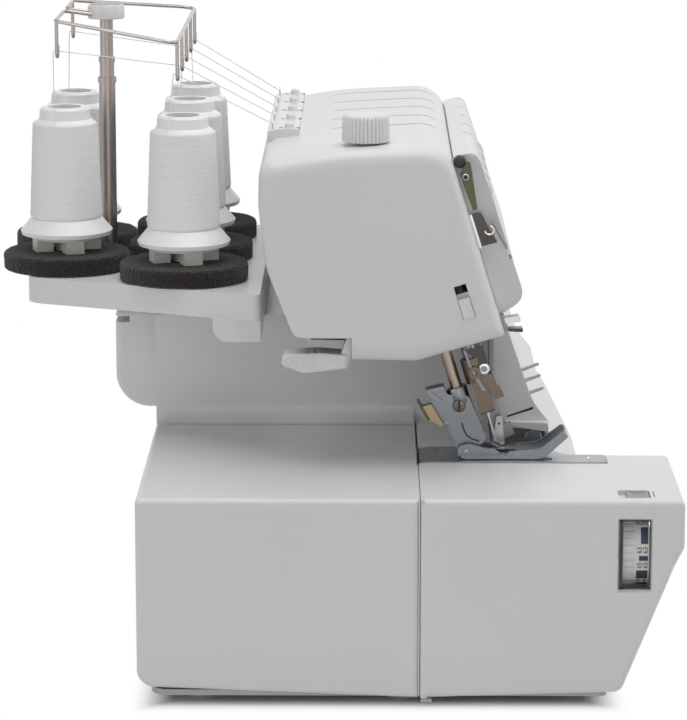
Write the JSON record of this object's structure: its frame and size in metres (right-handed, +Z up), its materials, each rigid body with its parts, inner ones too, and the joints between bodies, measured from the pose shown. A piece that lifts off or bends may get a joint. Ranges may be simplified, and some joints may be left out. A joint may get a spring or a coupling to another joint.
{
  "type": "serger overlock machine",
  "caption": "Household overlock sewing machine with leaning needle bar, swinging cloth plate, spool tray, thread cones and telescopic thread guide.",
  "frame": {"origin": "under the middle of the part's box, on the surface that the rubber feet stand on", "axes": "+Z up, -Y the machine's front where the operator sits, +X the handwheel end; +Y is the longest extent"},
  "size_m": [0.345, 0.3588, 0.335],
  "materials": {
    "white_plastic": "satin moulded plastic",
    "grey_plastic": "fine satin",
    "dial_plastic": "satin",
    "dark_plastic": "matte",
    "pan_plastic": "matte",
    "cone_plastic": "satin",
    "rubber": "matte pale rubber",
    "belt": "matte",
    "foam": "open cell foam",
    "thread": "spun thread",
    "bright_steel": "polished steel",
    "knife_steel": "ground steel",
    "chrome": "bright chrome",
    "antenna_metal": "satin",
    "lever_brass": "satin olive plated",
    "casting": "as cast",
    "bronze": "sintered",
    "motor_metal": "satin"
  },
  "bodies": {
    "root": {"base_pan": "pan_plastic", "rubber_feet": "rubber", "hinge_pins": "bright_steel", "bed_cover": "white_plastic", "column_cover": "white_plastic", "end_cover": "white_plastic", "motor_cover": "white_plastic", "head_cover": "white_plastic", "take_up_guard": "grey_plastic", "front_panel": "white_plastic", "lower_front_panel": "white_plastic", "spool_tray": "white_plastic", "chassis": "casting", "shaft_bushes": "bronze", "motor": "motor_metal", "drive_belt": "belt", "needle_plate": "bright_steel", "cover_screws": "bright_steel", "lower_knife": "knife_steel", "thread_guides": "chrome", "spool_pins": "bright_steel", "foam_pads": "foam", "cone_holders": "cone_plastic", "thread_cones": "cone_plastic", "thread_windings": "thread", "antenna_tube": "antenna_metal", "power_inlet": "dark_plastic", "threads": "thread"},
    "cloth_cover": {"cloth_plate_cover": "white_plastic"},
    "cover_latch": {"cover_latch": "grey_plastic"},
    "width_dial": {"width_dial": "dial_plastic"},
    "looper_cover": {"looper_cover": "white_plastic"},
    "handwheel": {"handwheel": "white_plastic", "main_shaft": "bright_steel", "shaft_pulley": "casting"},
    "motor_pulley": {"motor_pulley": "casting"},
    "needle_bar": {"needle_bar": "bright_steel", "needle_clamp": "bright_steel", "needles": "bright_steel"},
    "take_up_lever": {"take_up_lever": "lever_brass"},
    "upper_knife": {"upper_knife": "knife_steel"},
    "upper_looper": {"upper_looper": "bright_steel"},
    "lower_looper": {"lower_looper": "bright_steel"},
    "feed_dogs": {"feed_dogs": "bright_steel"},
    "presser_bar": {"presser_bar": "bright_steel", "presser_shank": "bright_steel"},
    "presser_foot": {"presser_foot": "bright_steel"},
    "presser_lever": {"presser_lever": "white_plastic"},
    "pressure_knob": {"pressure_knob": "white_plastic"},
    "selector_slider": {"selector_slider": "white_plastic"},
    "stitch_length_dial": {"stitch_length_dial": "grey_plastic"},
    "power_switch": {"power_switch": "dark_plastic"},
    "antenna_middle": {"antenna_middle": "antenna_metal"},
    "antenna_top": {"antenna_top": "antenna_metal", "antenna_guide": "chrome"},
    "tension_dial_1": {"tension_dial_1": "grey_plastic"},
    "tension_dial_2": {"tension_dial_2": "grey_plastic"},
    "tension_dial_3": {"tension_dial_3": "grey_plastic"},
    "tension_dial_4": {"tension_dial_4": "grey_plastic"},
    "tension_dial_5": {"tension_dial_5": "grey_plastic"}
  },
  "joints": [
    {"name": "cloth_cover_swing", "type": "hinge", "parent": "root", "child": "cloth_cover", "pos_m": [-0.1705, -0.0488, 0.05], "axis": [0, 0, -1], "range_deg": [0, 90]},
    {"name": "cover_latch_slide", "type": "slide", "parent": "cloth_cover", "child": "cover_latch", "axis": [0, 1, 0], "range_m": [0, 0.0036]},
    {"name": "width_dial_turn", "type": "hinge", "parent": "cloth_cover", "child": "width_dial", "pos_m": [-0.1473, -0.1544, 0.07975], "axis": [0, 1, 0], "range_deg": [-130, 130]},
    {"name": "looper_cover_fold", "type": "hinge", "parent": "root", "child": "looper_cover", "pos_m": [0.0275, -0.1344, 0.014], "axis": [1, 0, 0], "range_deg": [0, 75]},
    {"name": "handwheel_spin", "type": "hinge", "parent": "root", "child": "handwheel", "pos_m": [0.1675, 0.0056, 0.078], "axis": [1, 0, 0], "continuous": true},
    {"name": "motor_spin", "type": "hinge", "parent": "root", "child": "motor_pulley", "pos_m": [0.1425, 0.0696, 0.128], "axis": [1, 0, 0], "continuous": true},
    {"name": "needle_bar_slide", "type": "slide", "parent": "root", "child": "needle_bar", "axis": [0, 0.2924, 0.9563], "range_m": [-0.008, 0.016]},
    {"name": "take_up_swing", "type": "hinge", "parent": "root", "child": "take_up_lever", "pos_m": [-0.1005, -0.07135, 0.25617], "axis": [1, 0, 0], "range_deg": [-4, 7.99]},
    {"name": "upper_knife_slide", "type": "slide", "parent": "root", "child": "upper_knife", "axis": [0, 0.2924, 0.9563], "range_m": [-0.00281, 0.00561]},
    {"name": "upper_looper_swing", "type": "hinge", "parent": "root", "child": "upper_looper", "pos_m": [-0.0635, -0.0764, 0.058], "axis": [1, 0, 0], "range_deg": [-3.34, 6.67]},
    {"name": "lower_looper_swing", "type": "hinge", "parent": "root", "child": "lower_looper", "pos_m": [-0.0765, -0.1004, 0.04], "axis": [1, 0, 0], "range_deg": [-6.43, 3.22]},
    {"name": "feed_slide", "type": "slide", "parent": "root", "child": "feed_dogs", "axis": [0, 1, 0], "range_m": [-0.00101, 0.00201]},
    {"name": "presser_bar_slide", "type": "slide", "parent": "root", "child": "presser_bar", "axis": [0, 0.2924, 0.9563], "range_m": [0, 0.006]},
    {"name": "presser_lever_lift", "type": "hinge", "parent": "root", "child": "presser_lever", "pos_m": [-0.0985, -0.0154, 0.173], "axis": [1, 0, 0], "range_deg": [0, 12.01]},
    {"name": "presser_foot_tilt", "type": "hinge", "parent": "presser_bar", "child": "presser_foot", "pos_m": [-0.0775, -0.0719, 0.1132], "axis": [-1, 0, 0], "range_deg": [0, 8]},
    {"name": "pressure_knob_turn", "type": "hinge", "parent": "root", "child": "pressure_knob", "pos_m": [-0.0825, -0.019, 0.28], "axis": [0, 0, 1], "continuous": true},
    {"name": "selector_slide", "type": "slide", "parent": "root", "child": "selector_slider", "axis": [0, 0.2924, 0.9563], "range_m": [0, 0.0065]},
    {"name": "stitch_length_turn", "type": "hinge", "parent": "root", "child": "stitch_length_dial", "pos_m": [0.1605, -0.0544, 0.096], "axis": [1, 0, 0], "range_deg": [-135, 135]},
    {"name": "power_rocker", "type": "hinge", "parent": "root", "child": "power_switch", "pos_m": [0.157, 0.0756, 0.039], "axis": [0, 1, 0], "range_deg": [-12, 0]},
    {"name": "antenna_extend", "type": "slide", "parent": "root", "child": "antenna_top", "axis": [0, 0, 1], "range_m": [0, 0.17], "deforming": ["threads"]},
    {"name": "antenna_middle_extend", "type": "slide", "parent": "root", "child": "antenna_middle", "axis": [0, 0, 1], "range_m": [0, 0.08501]},
    {"name": "tension_1_turn", "type": "hinge", "parent": "root", "child": "tension_dial_1", "pos_m": [-0.0145, -0.07566, 0.23867], "axis": [1, 0, 0], "range_deg": [-150, 150]},
    {"name": "tension_2_turn", "type": "hinge", "parent": "root", "child": "tension_dial_2", "pos_m": [0.022, -0.07566, 0.23867], "axis": [1, 0, 0], "range_deg": [-150, 150]},
    {"name": "tension_3_turn", "type": "hinge", "parent": "root", "child": "tension_dial_3", "pos_m": [0.0585, -0.07566, 0.23867], "axis": [1, 0, 0], "range_deg": [-150, 150]},
    {"name": "tension_4_turn", "type": "hinge", "parent": "root", "child": "tension_dial_4", "pos_m": [0.095, -0.07566, 0.23867], "axis": [1, 0, 0], "range_deg": [-150, 150]},
    {"name": "tension_5_turn", "type": "hinge", "parent": "root", "child": "tension_dial_5", "pos_m": [0.1315, -0.07566, 0.23867], "axis": [1, 0, 0], "range_deg": [-150, 150]}
  ],
  "couplings": [
    {"joint": "motor_spin", "follows": "handwheel_spin", "ratio": 3.1111},
    {"joint": "take_up_swing", "follows": "needle_bar_slide", "rad_per_m": 8.7},
    {"joint": "upper_knife_slide", "follows": "needle_bar_slide", "ratio": 0.35},
    {"joint": "upper_looper_swing", "follows": "needle_bar_slide", "rad_per_m": 7.27},
    {"joint": "lower_looper_swing", "follows": "needle_bar_slide", "rad_per_m": -7},
    {"joint": "feed_slide", "follows": "needle_bar_slide", "ratio": 0.125},
    {"joint": "presser_lever_lift", "follows": "presser_bar_slide", "rad_per_m": 34.907},
    {"joint": "antenna_middle_extend", "follows": "antenna_extend", "ratio": 0.5}
  ]
}
